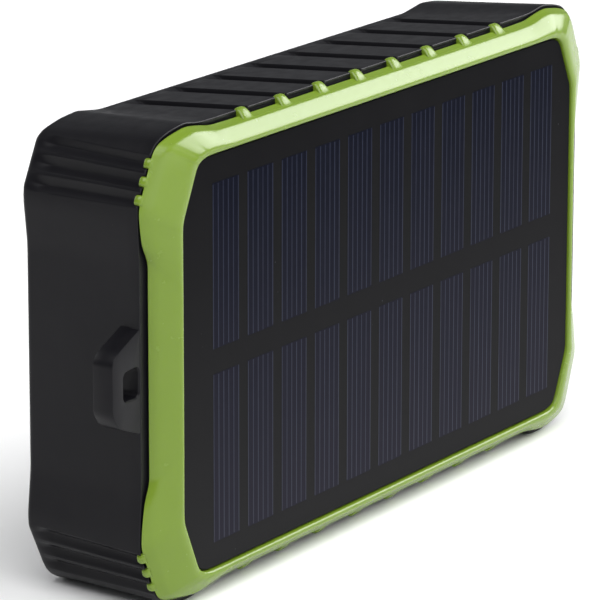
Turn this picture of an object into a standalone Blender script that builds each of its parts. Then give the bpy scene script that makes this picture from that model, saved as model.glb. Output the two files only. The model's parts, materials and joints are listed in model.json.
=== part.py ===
"""Solar phone charger: a rugged tub with a lanyard loop, a toothed bezel round a solar panel, and its inside.

It stands on its long edge. +Z is up, the panel faces -Y, and the lanyard loop is at the -X end.
Every size is in millimetres, and MM turns it into Blender's metres. Places are in the body's own frame:
X and Z from the middle of the case, Y from the panel's front surface into the case. The empty body_frame
carries that frame to the part's origin, which is the bottom centre of the whole object's box.
"""

import math

import bmesh
import bpy
from mathutils import Matrix, Vector

MM = 0.001

# Driving dimensions of the case
BEZEL_FRONT = -0.9
BEZEL_BACK = 3.2
SHELL_FRONT = 3.4
SHELL_BACK = 29.7
CAVITY_BACK = 27.2
SHELL_EDGE = 1.0
GROOVE_FADE = (26.9, 27.9)
LOOP_REACH = 83.8
LOOP_THICKNESS = 3.9
LOOP_SETBACK = 0.05
CASE_END_X = 76.3
FOOT_Z = 43.6
OUTSIDE_X = 80.0
SEAL_GROOVE_DEPTH = 1.2
LEDGE_WIDTH = 3.0

# Quarter outlines of the case, from the end (x, z = 0 upwards) round the corner to the long side.
# Points 3 and 4 are the two ends of the corner's flat facet in every one of them.
FACET = 3
SHELL_FRONT_UPPER = [
    (75.8, 20.6), (76.1, 24.8), (CASE_END_X, 28.6), (76.2, 31.9), (72.7, 39.0),
    (70.2, 41.9), (66.6, 43.0), (61.9, FOOT_Z), (57.2, 42.9), (54.5, 42.8),
]
SHELL_BACK_UPPER = [
    (73.1, 20.6), (73.6, 24.8), (74.1, 29.0), (73.9, 31.3), (69.8, 39.3),
    (68.0, 40.4), (63.2, 41.4), (58.1, 41.8), (54.2, 41.2), (51.2, 40.8),
]
SHELL_FRONT_LOWER = SHELL_FRONT_UPPER[:6] + [(66.9, 42.8), (64.4, FOOT_Z), (59.4, FOOT_Z), (56.2, 42.8)]
SHELL_BACK_LOWER = SHELL_BACK_UPPER[:6] + [(65.5, 41.3), (63.0, FOOT_Z), (57.6, FOOT_Z), (54.6, 40.8)]
BEZEL_OUTER = [
    (73.4, 20.6), (74.4, 23.5), (75.4, 28.3), (75.9, 31.2), (71.9, 39.8),
    (70.4, 41.2), (67.4, 42.1), (62.1, 42.9), (58.0, 42.4), (54.5, 41.7), (48.6, 41.6),
]
WINDOW = [
    (67.1, 14.0), (67.1, 20.6), (67.1, 24.4), (67.1, 27.0), (62.9, 36.2),
    (61.9, 37.1), (60.2, 37.7), (58.0, 37.9), (55.0, 37.9), (52.0, 37.9), (46.0, 37.9),
]
CAVITY = [
    (69.6, 20.6), (69.6, 24.8), (69.6, 28.6), (69.6, 33.0), (67.6, 38.0),
    (66.0, 38.0), (63.0, 38.0), (60.0, 38.0), (57.0, 38.0), (54.5, 38.0),
]
CAVITY_TAPER = 0.4
SEAL = [
    (73.4, 20.6), (73.6, 24.8), (73.8, 28.3), (73.8, 31.2), (70.9, 38.9),
    (69.6, 40.6), (66.9, 41.4), (62.1, 41.7), (57.5, 41.6), (54.5, 41.6),
]

# Grooves across the long sides and the corner facets, and the bezel's teeth and lugs in their front ends
TOOTH_COUNT = 8
TOOTH_PITCH = 12.5
TOOTH_WIDTH = 2.6
GROOVE_TOP = 3.8
GROOVE_FLOOR = 3.2
GROOVE_DEPTH = 1.25
FACET_LENGTH = 7.9
LUG_PLACES = (1.35, 3.95, 6.55)
LUG_WIDTH = 1.5
FACET_GROOVE_TOP = 2.3
FACET_GROOVE_FLOOR = 2.1
FACET_GROOVE_DEPTH = 1.1
TOOTH_LIFT = 1.35
LUG_BASE, LUG_LIFT = -0.9, 0.95

# Solar panel
CELL_COLUMNS = 11
CELL_PITCH = 11.0
CELL_WIDTH = 9.2
CELL_GRID_X = 1.0
CELL_ROWS = {"upper": (2.25, 32.4), "lower": (-33.1, -2.25)}
CELL_RIBBON = 1.2
PANEL_GAP = 0.3
PANEL_BOARD_Y = (0.5, 1.7)

# Battery: two pouch cells with tape between them, and their protection board
BATTERY_X = (-68.3, 27.7)
BATTERY_Z = (-29.2, 29.2)
BATTERY_DEPTHS = {"front": (6.6, 16.2), "rear": (17.2, 26.8)}
FOAM_TAPE = ((-60.0, 20.0), (16.5, 16.9), (-24.0, 24.0))
PROTECTION_BOARD = ((29.0, 30.0), (9.0, 24.0), (-14.0, 14.0))

# Case screws and their posts
POST_X, POST_Z = 66.0, 33.6
POST_FRONT, POST_RADIUS, POST_BORE = 16.0, 3.8, 1.4
HEAD_SEAT, HEAD_BORE = 25.5, 2.6
BOSS_FRONT, BOSS_BACK, BOSS_RADIUS, BOSS_BORE = 2.6, 15.7, 2.7, 1.35

# Main board, with the sockets' and the switch's middle plane in front of it
BOARD_X = (36.0, 66.9)
BOARD_Z = 28.8
BOARD_Y = (18.0, 19.6)
BOARD_SCREWS = ((39.5, -25.0), (39.5, 25.0), (60.0, 25.4))
STANDOFF_RADIUS, STANDOFF_BORE = 2.3, 1.15
FIT = 0.3
USB_A = {"lower": -19.3, "upper": -4.7}
USB_A_SIZE = (14.2, 5.8, 13.2)
MICRO_USB_Z = 6.4
MICRO_USB_SIZE = (5.6, 2.9, 7.6)
SOCKET_MOUTH = 71.9
WALL_HOLES_X = (66.0, 74.0)
BUTTON_Z, BUTTON_Y = 16.6, 15.8
BUTTON_X, PLUNGER_X = 74.7, 66.3
BUTTON_BORE = 3.2
SWITCH_BODY = ((62.2, 66.8), (12.8, 17.7), (13.6, 19.6))
LED_PLACES = (21.6, 23.5, 25.4, 27.3)

# Port recess in the right-hand end, and its cover
RECESS_FLOOR = 72.2
RECESS_Y = (7.3, 24.8)
RECESS_Z = (-27.7, 11.7)
STRAP_Y = 27.0
STRAP_Z = (-20.0, 4.0)
TAB_Y = 5.2
TAB_Z = (-13.0, -3.0)
HINGE_X, HINGE_Y = 74.4, 24.5
BARB_HOLE = ((66.0, 74.0), (24.9, 26.7), (-12.3, -3.7))
BARB = ((68.2, 73.0), (25.2, 26.4), (-12.0, -4.0))
COVER_GAP = 0.3

# Torch in the back
TORCH_X = 50.0
TORCH_HALF_LENGTH, TORCH_RADIUS = 15.0, 5.5
TORCH_LEDS = (-10.5, -3.5, 3.5, 10.5)
TORCH_BOARD_Y = (22.0, 23.0)
TORCH_LED_Y = (23.3, 24.1)
REFLECTOR_Y = (24.4, 27.7)
LENS_Y = (28.0, 29.5)


def clear_scene():
    for old in list(bpy.data.objects):
        bpy.data.objects.remove(old, do_unlink=True)


def material(name, color, roughness, metallic=0.0):
    made = bpy.data.materials.new(name)
    made.use_nodes = True
    shader = made.node_tree.nodes["Principled BSDF"]
    shader.inputs["Base Color"].default_value = (*color, 1.0)
    shader.inputs["Roughness"].default_value = roughness
    shader.inputs["Metallic"].default_value = metallic
    return made


def make_materials():
    return {
        "shell": material("shell", (0.022, 0.022, 0.026), 0.5),
        "bezel": material("bezel", (0.23, 0.36, 0.055), 0.32),
        "panel": material("panel", (0.018, 0.019, 0.022), 0.28),
        "cell": material("cell", (0.022, 0.028, 0.055), 0.25),
        "rubber": material("rubber", (0.02, 0.02, 0.021), 0.75),
        "seal": material("seal", (0.35, 0.34, 0.32), 0.7),
        "pouch": material("pouch", (0.62, 0.63, 0.65), 0.35, 0.8),
        "foam": material("foam", (0.8, 0.8, 0.76), 0.9),
        "board": material("board", (0.02, 0.14, 0.07), 0.4),
        "metal": material("metal", (0.72, 0.72, 0.73), 0.3, 1.0),
        "black_plastic": material("black_plastic", (0.02, 0.02, 0.02), 0.5),
        "clear": material("clear", (0.85, 0.9, 0.92), 0.1),
        "led": material("led", (0.85, 0.83, 0.6), 0.3),
        "reflector": material("reflector", (0.85, 0.85, 0.86), 0.12, 1.0),
        "red_lead": material("red_lead", (0.55, 0.03, 0.02), 0.45),
        "black_lead": material("black_lead", (0.02, 0.02, 0.02), 0.45),
    }


class Builder:
    """Makes objects under the body_frame empty, and keeps cutters and joined tools out of the render."""

    def __init__(self):
        self.materials = make_materials()
        self.frame = bpy.data.objects.new("body_frame", None)
        bpy.context.collection.objects.link(self.frame)
        box_middle_x = (CASE_END_X - LOOP_REACH) / 2
        box_middle_y = (BEZEL_FRONT + SHELL_BACK) / 2
        self.frame.location = Vector((-box_middle_x, -box_middle_y, FOOT_Z)) * MM

    def add(self, name, mesh, slot=None, at=(0, 0, 0)):
        mesh.name = name
        if slot:
            mesh.materials.append(self.materials[slot])
        made = bpy.data.objects.new(name, mesh)
        bpy.context.collection.objects.link(made)
        made.parent = self.frame
        made.location = Vector(at) * MM
        return made

    def boolean(self, target, operation, tool_name, mesh, at=(0, 0, 0)):
        tool = self.add(tool_name, mesh, at=at)
        tool.hide_render = True
        tool.display_type = "WIRE"
        change = target.modifiers.new(tool_name, "BOOLEAN")
        change.operation = operation
        change.object = tool
        return change

    def cut(self, target, tool_name, mesh, at=(0, 0, 0)):
        self.boolean(target, "DIFFERENCE", tool_name, mesh, at)

    def join(self, target, tool_name, mesh, at=(0, 0, 0)):
        self.boolean(target, "UNION", tool_name, mesh, at)


def finished(shape, sharp_degrees=None):
    """A mesh of the bmesh, facing out, and shaded smooth where its faces meet at less than sharp_degrees."""
    bmesh.ops.recalc_face_normals(shape, faces=shape.faces)
    mesh = bpy.data.meshes.new("shape")
    shape.to_mesh(mesh)
    shape.free()
    if sharp_degrees:
        mesh.shade_smooth()
        mesh.set_sharp_from_angle(angle=math.radians(sharp_degrees))
    return mesh


def boxes(*spans):
    """One mesh of boxes, each given as ((x0, x1), (y0, y1), (z0, z1))."""
    shape = bmesh.new()
    for span in spans:
        middle = Vector([(low + high) / 2 for low, high in span]) * MM
        size = [abs(high - low) * MM for low, high in span]
        place = Matrix.Translation(middle) @ Matrix.Diagonal((*size, 1.0))
        bmesh.ops.create_cube(shape, size=1.0, matrix=place)
    return finished(shape)


def bevelled(mesh, width, segments=2):
    """The mesh with every edge rounded by width."""
    shape = bmesh.new()
    shape.from_mesh(mesh)
    edges = shape.edges[:]
    bmesh.ops.bevel(shape, geom=edges, offset=width * MM, segments=segments, profile=0.5, affect="EDGES")
    return finished(shape, 40)


def rods(axis, segments, *spans):
    """One mesh of turned rods along axis, each given as (middle, [(place along axis, radius), ...])."""
    shape = bmesh.new()
    along = Vector([axis == name for name in "XYZ"])
    side = Vector([axis != "X", axis == "X", 0.0])
    up = along.cross(side)
    for middle, profile in spans:
        rings = []
        for place, radius in profile:
            ring = []
            for i in range(segments):
                angle = 2 * math.pi * i / segments
                spoke = side * math.cos(angle) + up * math.sin(angle)
                point = Vector(middle) + along * place + spoke * radius
                ring.append(shape.verts.new(point * MM))
            rings.append(ring)
        bridge(shape, rings)
        shape.faces.new(rings[0])
        shape.faces.new(list(reversed(rings[-1])))
    return finished(shape, 40)


def bridge(shape, rings):
    """Quads between each ring of vertices and the next."""
    for ring, following in zip(rings, rings[1:]):
        count = len(ring)
        for i in range(count):
            j = (i + 1) % count
            shape.faces.new((ring[i], ring[j], following[j], following[i]))


def slab(outline, y0, y1):
    """A prism of an (x, z) outline, from y0 to y1."""
    shape = bmesh.new()
    rings = [[shape.verts.new(Vector((x, y, z)) * MM) for x, z in outline] for y in (y0, y1)]
    bridge(shape, rings)
    shape.faces.new(rings[0])
    shape.faces.new(list(reversed(rings[1])))
    return finished(shape)


def pill(half_length, radius, steps=10):
    """An (x, z) outline, long in z, with round ends."""
    points = []
    for end, start in ((half_length - radius, 0.0), (radius - half_length, math.pi)):
        for i in range(steps + 1):
            angle = start + math.pi * i / steps
            points.append((radius * math.cos(angle), end + radius * math.sin(angle)))
    return points


def mirrored(upper, lower=None):
    """The closed outline of a quarter outline above the middle and one below it."""
    lower = lower or upper
    top = upper + [(-x, z) for x, z in reversed(upper)]
    bottom = [(-x, -z) for x, z in lower] + [(x, -z) for x, z in reversed(lower)]
    return top + bottom


def mixed(first, second, share):
    return [(a + (c - a) * share, b + (d - b) * share) for (a, b), (c, d) in zip(first, second)]


def inset(outline, distance):
    """Each point moved inwards by the distance, square to the outline there."""
    count = len(outline)
    moved = []
    for i, point in enumerate(outline):
        before = Vector(outline[i - 1])
        here = Vector(point)
        after = Vector(outline[(i + 1) % count])
        first = Vector((-(here - before).y, (here - before).x)).normalized()
        second = Vector((-(after - here).y, (after - here).x)).normalized()
        normal = (first + second).normalized()
        reach = distance / max(normal.dot(first), 0.5)
        moved.append(tuple(here + normal * reach))
    return moved


def tooth_places():
    return [(i - (TOOTH_COUNT - 1) / 2) * TOOTH_PITCH for i in range(TOOTH_COUNT)]


def groove_points(start, end, places, widths, depth):
    """Points across the grooves on a straight run: each groove's two lips and the two sides of its floor."""
    start, end = Vector(start), Vector(end)
    along = (end - start).normalized()
    inward = Vector((-along.y, along.x))
    lip, floor = widths[0] / 2, widths[1] / 2
    points = []
    for place in places:
        for offset, sunk in ((-lip, 0), (-floor, depth), (floor, depth), (lip, 0)):
            points.append(tuple(start + along * (place + offset) + inward * sunk))
    return points


def grooved(outline, top_depth, facet_depth):
    """The whole outline with its long-side and corner grooves. At depth 0 their points lie on the outline."""
    quarter = len(outline) // 4
    facets = [FACET, 2 * quarter - 2 - FACET, 2 * quarter + FACET, 4 * quarter - 2 - FACET]
    long_sides = [quarter - 1, 3 * quarter - 1]
    points = []
    for i, point in enumerate(outline):
        following = outline[(i + 1) % len(outline)]
        points.append(point)
        span = (Vector(following) - Vector(point)).length
        if i in facets:
            stretch = span / FACET_LENGTH
            places = [place * stretch for place in LUG_PLACES]
            if i in facets[1::2]:
                places = [span - place for place in reversed(places)]
            widths = (FACET_GROOVE_TOP * stretch, FACET_GROOVE_FLOOR * stretch)
            points += groove_points(point, following, places, widths, facet_depth)
        if i in long_sides:
            places = [span / 2 + place for place in tooth_places()]
            points += groove_points(point, following, places, (GROOVE_TOP, GROOVE_FLOOR), top_depth)
    return points


def loft(stations, closed_loop=False, sharp_degrees=30):
    """A skin over (outline, y) stations, closed into a ring or with flat ends."""
    shape = bmesh.new()
    rings = [[shape.verts.new(Vector((x, y, z)) * MM) for x, z in outline] for outline, y in stations]
    if closed_loop:
        rings.append(rings[0])
        bridge(shape, rings)
    else:
        bridge(shape, rings)
        fan(shape, list(reversed(rings[0])), stations[0][1])
        fan(shape, rings[-1], stations[-1][1])
    return finished(shape, sharp_degrees)


def fan(shape, ring, y):
    """A flat end of triangles from the ring to the middle, so that points in line on the ring do no harm."""
    middle = shape.verts.new((0.0, y * MM, 0.0))
    for i, vertex in enumerate(ring):
        shape.faces.new((vertex, ring[(i + 1) % len(ring)], middle))


def shell_outline(y):
    """The tub's outer outline at a depth: it narrows towards the back, apart from the two foot pads."""
    share = (y - SHELL_FRONT) / (SHELL_BACK - SHELL_FRONT)
    upper = mixed(SHELL_FRONT_UPPER, SHELL_BACK_UPPER, share)
    lower = mixed(SHELL_FRONT_LOWER, SHELL_BACK_LOWER, share)
    return mirrored(upper, lower)


def shell_skin():
    """Outer stations of the tub from front to back, with the grooves running out before the back edge."""
    depths = ((SHELL_FRONT, 1), (GROOVE_FADE[0], 1), (GROOVE_FADE[1], 0), (SHELL_BACK - SHELL_EDGE, 0))
    stations = []
    for y, share in depths:
        stations.append((grooved(shell_outline(y), GROOVE_DEPTH * share, FACET_GROOVE_DEPTH * share), y))
    edge = inset(shell_outline(SHELL_BACK), SHELL_EDGE)
    stations.append((grooved(edge, 0, 0), SHELL_BACK))
    return stations


def loop_outline():
    """(x, z) outline of the lanyard loop: a tapering ear with small corners."""
    return [
        (-74.0, 9.9), (-75.8, 9.2), (-82.4, 5.4), (-83.3, 4.7), (-LOOP_REACH, 3.6),
        (-LOOP_REACH, -3.6), (-83.3, -4.7), (-82.4, -5.4), (-75.8, -9.2), (-74.0, -9.9),
    ]


def loop_hole():
    """(x, z) outline of the slot beside the end wall."""
    near, far, half_height, corner = -76.9, -79.3, 2.6, 1.15
    points = []
    corners = ((near, half_height), (far, half_height), (far, -half_height), (near, -half_height))
    for turn, (x, z) in enumerate(corners):
        for step in range(4):
            angle = math.radians(90 * turn + 30 * step)
            points.append((x + corner * math.cos(angle), z + corner * math.sin(angle)))
    return points


def post_places():
    return [(x * POST_X, z * POST_Z) for x in (-1, 1) for z in (-1, 1)]


def build_shell(make):
    cavity, seal = mirrored(CAVITY), mirrored(SEAL)
    groove_outer, groove_inner = mixed(cavity, seal, 0.78), mixed(cavity, seal, 0.26)
    groove_floor = SHELL_FRONT + SEAL_GROOVE_DEPTH
    inner = [
        (groove_outer, SHELL_FRONT), (groove_outer, groove_floor),
        (groove_inner, groove_floor), (groove_inner, SHELL_FRONT),
        (cavity, SHELL_FRONT), (inset(cavity, CAVITY_TAPER), CAVITY_BACK),
    ]
    plain = [(grooved(outline, 0, 0), y) for outline, y in inner]
    shell = make.add("rear_shell", loft(list(reversed(shell_skin())) + plain), "shell")

    loop_span = (SHELL_FRONT + LOOP_SETBACK, SHELL_FRONT + LOOP_THICKNESS)
    make.join(shell, "loop_ear", slab(loop_outline(), *loop_span))
    make.cut(shell, "loop_slot", slab(loop_hole(), loop_span[0] - 2, loop_span[1] + 2))
    add_posts(make, shell)
    cut_port_end(make, shell)
    torch_cut = slab(pill(TORCH_HALF_LENGTH + FIT, TORCH_RADIUS + FIT), CAVITY_BACK - 1, SHELL_BACK + 1)
    make.cut(shell, "torch_window", torch_cut, at=(TORCH_X, 0, 0))


def add_posts(make, shell):
    """The corner posts with their screw bores, and the standoffs under the main board."""
    floor = CAVITY_BACK + 1
    posts = [((x, 0, z), [(POST_FRONT, POST_RADIUS), (floor, POST_RADIUS)]) for x, z in post_places()]
    make.join(shell, "screw_posts", rods("Y", 20, *posts))
    bore = [
        (POST_FRONT - 2, POST_BORE), (HEAD_SEAT, POST_BORE),
        (HEAD_SEAT + 0.01, HEAD_BORE), (SHELL_BACK + 1, HEAD_BORE),
    ]
    make.cut(shell, "screw_bores", rods("Y", 20, *[((x, 0, z), bore) for x, z in post_places()]))
    standoff = [(BOARD_Y[1] + FIT, STANDOFF_RADIUS), (floor, STANDOFF_RADIUS)]
    make.join(shell, "board_standoffs", rods("Y", 16, *[((x, 0, z), standoff) for x, z in BOARD_SCREWS]))
    pilot = [(BOARD_Y[0], STANDOFF_BORE), (CAVITY_BACK - 0.8, STANDOFF_BORE)]
    make.cut(shell, "board_pilots", rods("Y", 12, *[((x, 0, z), pilot) for x, z in BOARD_SCREWS]))


def cut_port_end(make, shell):
    """The recess, mouths, button hole and status windows in the right-hand end."""
    make.cut(shell, "port_recess", boxes(((RECESS_FLOOR, OUTSIDE_X), RECESS_Y, RECESS_Z)))
    strap = ((RECESS_FLOOR, OUTSIDE_X), (RECESS_Y[1] - 1, STRAP_Y), STRAP_Z)
    make.cut(shell, "strap_recess", boxes(strap))
    tab = ((RECESS_FLOOR + 1.0, OUTSIDE_X), (TAB_Y, RECESS_Y[0] + 1), TAB_Z)
    make.cut(shell, "tab_recess", boxes(tab))
    mouths = [socket_mouth(USB_A_SIZE, z) for z in USB_A.values()]
    mouths.append(socket_mouth(MICRO_USB_SIZE, MICRO_USB_Z))
    make.cut(shell, "socket_mouths", boxes(*mouths))
    make.cut(shell, "barb_hole", boxes(BARB_HOLE))
    button = ((0, BUTTON_Y, BUTTON_Z), [(WALL_HOLES_X[0], BUTTON_BORE), (OUTSIDE_X, BUTTON_BORE)])
    make.cut(shell, "button_hole", rods("X", 24, button))
    windows = [((0, BUTTON_Y, z), [(WALL_HOLES_X[0], 0.8), (OUTSIDE_X, 0.8)]) for z in LED_PLACES]
    make.cut(shell, "status_windows", rods("X", 12, *windows))


def socket_mouth(size, z):
    """The box that lets a socket of this (length, depth, width) through the end wall."""
    y0, y1 = board_front(size[1])
    half = size[2] / 2 + FIT
    return (WALL_HOLES_X, (y0 - FIT, y1 + FIT), (z - half, z + half))


def bezel_stations():
    """Rings of the bezel's section, from the panel's ledge over the crest and the two bevels to the back."""
    window, outer = mirrored(WINDOW), mirrored(BEZEL_OUTER)
    ledge = inset(window, LEDGE_WIDTH)
    return [
        (ledge, BEZEL_BACK),
        (ledge, 2.0),
        (window, 2.0),
        (window, -0.45),
        (mixed(window, outer, 0.1), BEZEL_FRONT),
        (mixed(window, outer, 0.2), -0.8),
        (mixed(window, outer, 0.66), 0.8),
        (outer, 2.75),
        (outer, BEZEL_BACK),
    ]


def tooth_profile(edge, lift):
    """(y, height) profile of a claw that rises from the bevel and reaches back over a groove's floor."""
    return [
        (1.7, edge - 1.5), (1.75, edge - 0.95), (3.5, edge + lift - 0.1), (3.9, edge + lift),
        (4.4, edge + lift - 0.05), (4.6, edge + lift - 1.0), (3.25, edge + lift - 1.12), (3.0, edge - 0.5),
    ]


def claw(shape, place, outward, width, profile):
    """Adds one claw: the profile swept across its width, with its height along outward in (x, z)."""
    across = Vector((-outward.y, outward.x))
    rings = []
    for side in (-width / 2, width / 2):
        ring = []
        for y, height in profile:
            spot = place + outward * height + across * side
            ring.append(shape.verts.new(Vector((spot.x, y, spot.y)) * MM))
        rings.append(ring)
    bridge(shape, rings)
    shape.faces.new(rings[0])
    shape.faces.new(list(reversed(rings[1])))


def build_bezel(make):
    bezel = make.add("front_bezel", loft(bezel_stations(), closed_loop=True), "bezel")
    shape = bmesh.new()
    side = BEZEL_OUTER[-1][1]
    for x in tooth_places():
        for z in (-1, 1):
            profile = tooth_profile(side, TOOTH_LIFT)
            claw(shape, Vector((x, 0)), Vector((0, z)), TOOTH_WIDTH, profile)
    make.join(bezel, "teeth", finished(shape))
    make.join(bezel, "lugs", lugs())

    bosses = [((x, 0, z), [(BOSS_FRONT, BOSS_RADIUS), (BOSS_BACK, BOSS_RADIUS)]) for x, z in post_places()]
    make.join(bezel, "bosses", rods("Y", 18, *bosses))
    pilot = [(BOSS_BACK - 7.7, BOSS_BORE), (BOSS_BACK + 1.3, BOSS_BORE)]
    make.cut(bezel, "boss_pilots", rods("Y", 14, *[((x, 0, z), pilot) for x, z in post_places()]))


def lugs():
    """Three short claws on each corner facet."""
    shape = bmesh.new()
    start, end = Vector(SHELL_FRONT_UPPER[FACET]), Vector(SHELL_FRONT_UPPER[FACET + 1])
    along = (end - start).normalized()
    outward = Vector((along.y, -along.x))
    for distance in LUG_PLACES:
        place = start + along * distance
        for x in (-1, 1):
            for z in (-1, 1):
                spot = Vector((place.x * x, place.y * z))
                normal = Vector((outward.x * x, outward.y * z))
                claw(shape, spot, normal, LUG_WIDTH, tooth_profile(LUG_BASE, LUG_LIFT))
    return finished(shape)


def build_seal(make):
    cavity, seal = mirrored(CAVITY), mirrored(SEAL)
    outer, inner = mixed(cavity, seal, 0.69), mixed(cavity, seal, 0.35)
    front, back = SHELL_FRONT + 0.1, SHELL_FRONT + 0.9
    stations = [(outer, front), (outer, back), (inner, back), (inner, front)]
    make.add("rim_gasket", loft(stations, closed_loop=True), "seal")


def cell_string_outline(bottom, top):
    """(x, z) outline of a row of cells joined along their inner edge by the bus ribbon."""
    start = CELL_GRID_X - (CELL_COLUMNS - 1) / 2 * CELL_PITCH
    inner, outer = (bottom, top) if bottom > 0 else (top, bottom)
    step = CELL_RIBBON if bottom > 0 else -CELL_RIBBON
    points = []
    for i in range(CELL_COLUMNS):
        middle = start + i * CELL_PITCH
        left, right = middle - CELL_WIDTH / 2, middle + CELL_WIDTH / 2
        points += [(left, inner + step), (left, outer), (right, outer), (right, inner + step)]
    return points + [(points[-1][0], inner), (points[0][0], inner)]


def build_panel(make):
    board = inset(mirrored(WINDOW), PANEL_GAP)
    make.add("solar_panel_board", slab(board, *PANEL_BOARD_Y), "panel")
    for name, (bottom, top) in CELL_ROWS.items():
        make.add(f"solar_cells_{name}", slab(cell_string_outline(bottom, top), 0.0, 0.2), "cell")


def build_battery(make):
    for name, depth in BATTERY_DEPTHS.items():
        cell = (BATTERY_X, depth, BATTERY_Z)
        middle = [(low + high) / 2 for low, high in cell]
        spans = [(low - c, high - c) for (low, high), c in zip(cell, middle)]
        make.add(f"battery_cell_{name}", bevelled(boxes(spans), 1.4), "pouch", at=middle)
    make.add("battery_foam_tape", boxes(FOAM_TAPE), "foam")
    make.add("battery_protection_board", boxes(PROTECTION_BOARD), "board")


def board_front(thickness):
    """The depths of a part that sits on the front of the main board."""
    return BOARD_Y[0] - FIT - thickness, BOARD_Y[0] - FIT


def build_usb_a(make, name, z):
    wall = 0.4
    length, depth, width = USB_A_SIZE
    back = SOCKET_MOUTH - length
    y0, y1 = board_front(depth)
    z0, z1 = z - width / 2, z + width / 2
    body = make.add(f"usb_a_shell_{name}", boxes(((back, SOCKET_MOUTH), (y0, y1), (z0, z1))), "metal")
    hollow = ((back - 1, SOCKET_MOUTH + 1), (y0 + wall, y1 - wall), (z0 + wall, z1 - wall))
    make.cut(body, f"usb_a_hollow_{name}", boxes(hollow))
    block = ((back + 0.2, back + 2.7), (y0 + 0.7, y1 - 0.7), (z0 + 0.7, z1 - 0.7))
    tongue = make.add(f"usb_a_tongue_{name}", boxes(block), "black_plastic")
    blade = ((back + 2.3, SOCKET_MOUTH - 1.5), (y1 - 2.7, y1 - 0.9), (z0 + 1.1, z1 - 1.1))
    make.join(tongue, f"usb_a_blade_{name}", boxes(blade))


def build_micro_usb(make):
    length, depth, width = MICRO_USB_SIZE
    back = SOCKET_MOUTH - length
    y0, y1 = board_front(depth)
    z0, z1 = MICRO_USB_Z - width / 2, MICRO_USB_Z + width / 2
    outline = [(y0, z0), (y0, z1), (y1 - 0.9, z1), (y1, z1 - 0.9), (y1, z0 + 0.9), (y1 - 0.9, z0)]
    body = make.add("micro_usb_shell", bar(outline, back, SOCKET_MOUTH), "metal")
    hollow = [
        (y0 + 0.3, z0 + 0.3), (y0 + 0.3, z1 - 0.3), (y1 - 1.0, z1 - 0.3),
        (y1 - 0.3, z1 - 1.0), (y1 - 0.3, z0 + 1.0), (y1 - 1.0, z0 + 0.3),
    ]
    make.cut(body, "micro_usb_hollow", bar(hollow, back - 1, SOCKET_MOUTH + 1))
    block = ((back + 0.2, back + 1.7), (y0 + 0.6, y1 - 0.6), (z0 + 1.5, z1 - 1.5))
    tongue = make.add("micro_usb_tongue", boxes(block), "black_plastic")
    blade = ((back + 1.2, SOCKET_MOUTH - 0.7), (y0 + 1.0, y0 + 1.6), (z0 + 1.7, z1 - 1.7))
    make.join(tongue, "micro_usb_blade", boxes(blade))


def bar(outline, x0, x1):
    """A prism of a (y, z) outline, from x0 to x1."""
    shape = bmesh.new()
    rings = [[shape.verts.new(Vector((x, y, z)) * MM) for y, z in outline] for x in (x0, x1)]
    bridge(shape, rings)
    shape.faces.new(rings[0])
    shape.faces.new(list(reversed(rings[1])))
    return finished(shape)


def build_board(make):
    board = make.add("main_board", boxes((BOARD_X, BOARD_Y, (-BOARD_Z, BOARD_Z))), "board")
    holes = [((x, 0, z), [(BOARD_Y[0] - 1, 1.3), (BOARD_Y[1] + 1, 1.3)]) for x, z in BOARD_SCREWS]
    make.cut(board, "board_holes", rods("Y", 12, *holes))
    y0, y1 = board_front(4.2)
    make.add("power_inductor", bevelled(boxes(((41.0, 51.0), (y0, y1), (-16.0, -6.0))), 0.8), "black_plastic")
    y0, y1 = board_front(1.4)
    make.add("control_chip", boxes(((43.0, 49.0), (y0, y1), (-1.0, 5.0))), "black_plastic")
    for name, z in (("lower", -23.0), ("upper", 11.0)):
        y0, y1 = board_front(7.0)
        profile = [(y0, 2.6), (y0 + 0.5, 3.0), (y1, 3.0)]
        make.add(f"capacitor_{name}", rods("Y", 20, ((50.0, 0, z), profile)), "metal")
    for i, (x, z) in enumerate(BOARD_SCREWS, 1):
        profile = [(16.5, 1.5), (16.9, 2.0), (17.69, 2.0), (17.7, 0.85), (24.0, 0.85)]
        make.add(f"board_screw_{i}", rods("Y", 16, ((x, 0, z), profile)), "metal")


def build_switch(make):
    switch = make.add("tact_switch_body", boxes(SWITCH_BODY), "black_plastic")
    pocket = ((0, BUTTON_Y, BUTTON_Z), [(PLUNGER_X - 2.4, 1.5), (PLUNGER_X + 1.7, 1.5)])
    make.cut(switch, "plunger_pocket", rods("X", 16, pocket))
    plunger = ((0, 0, 0), [(-1.4, 1.2), (1.4, 1.2)])
    make.add("tact_switch_plunger", rods("X", 16, plunger), "metal", at=(PLUNGER_X, BUTTON_Y, BUTTON_Z))
    cap = ((0, 0, 0), [(-6.7, 3.9), (-5.7, 3.9), (-5.69, 2.8), (0.2, 2.8), (0.5, 2.4)])
    make.add("power_button", rods("X", 24, cap), "rubber", at=(BUTTON_X, BUTTON_Y, BUTTON_Z))

    guide = make.add("status_light_guide", boxes(((67.2, 68.6), (15.0, 16.6), (20.8, 28.1))), "clear")
    pins = [((0, BUTTON_Y, z), [(68.0, 0.5), (74.6, 0.5)]) for z in LED_PLACES]
    make.join(guide, "guide_pins", rods("X", 10, *pins))
    for i, z in enumerate(LED_PLACES, 1):
        make.add(f"status_led_{i}", boxes(((65.6, 66.9), (15.2, 17.7), (z - 0.7, z + 0.7))), "led")


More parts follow.
